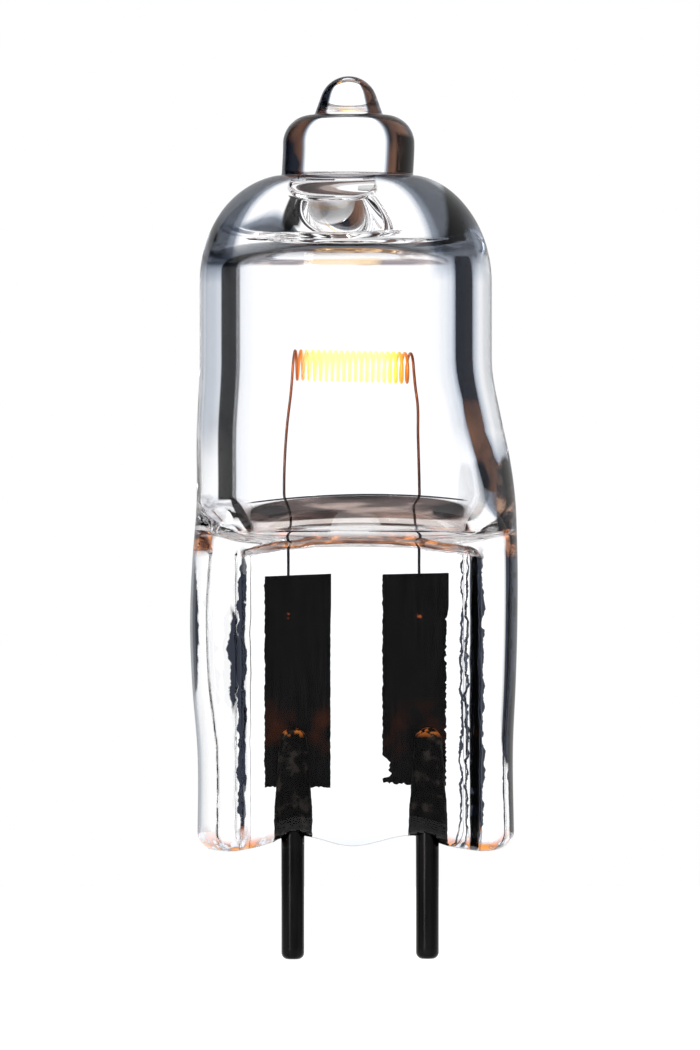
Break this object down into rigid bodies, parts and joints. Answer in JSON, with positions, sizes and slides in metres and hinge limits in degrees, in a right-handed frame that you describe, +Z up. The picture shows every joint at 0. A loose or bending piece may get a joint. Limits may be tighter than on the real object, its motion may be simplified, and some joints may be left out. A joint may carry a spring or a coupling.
{
  "type": "halogen bulb",
  "caption": "Clear quartz capsule bulb with a domed top and exhaust tip, a coiled filament, a flat pinch seal over thin foils, and straight pins that push into a lamp holder.",
  "frame": {"origin": "midway between the two pins, in the plane of the lowest glass", "axes": "+Z up the bulb from the pins to the exhaust tip, +X from the left pin to the right pin, -Y the front, on which the pins are welded to the foils"},
  "size_m": [0.0097, 0.0087, 0.0262],
  "materials": {
    "quartz": "clear fire-polished quartz",
    "tungsten": "glowing tungsten wire, darker at the legs",
    "foil": "dark matt molybdenum foil",
    "pin_metal": "dark drawn molybdenum wire"
  },
  "bodies": {
    "root": {"glass_envelope": "quartz", "filament": "tungsten", "left_foil": "foil", "right_foil": "foil", "left_pin": "pin_metal", "right_pin": "pin_metal"}
  },
  "joints": []
}
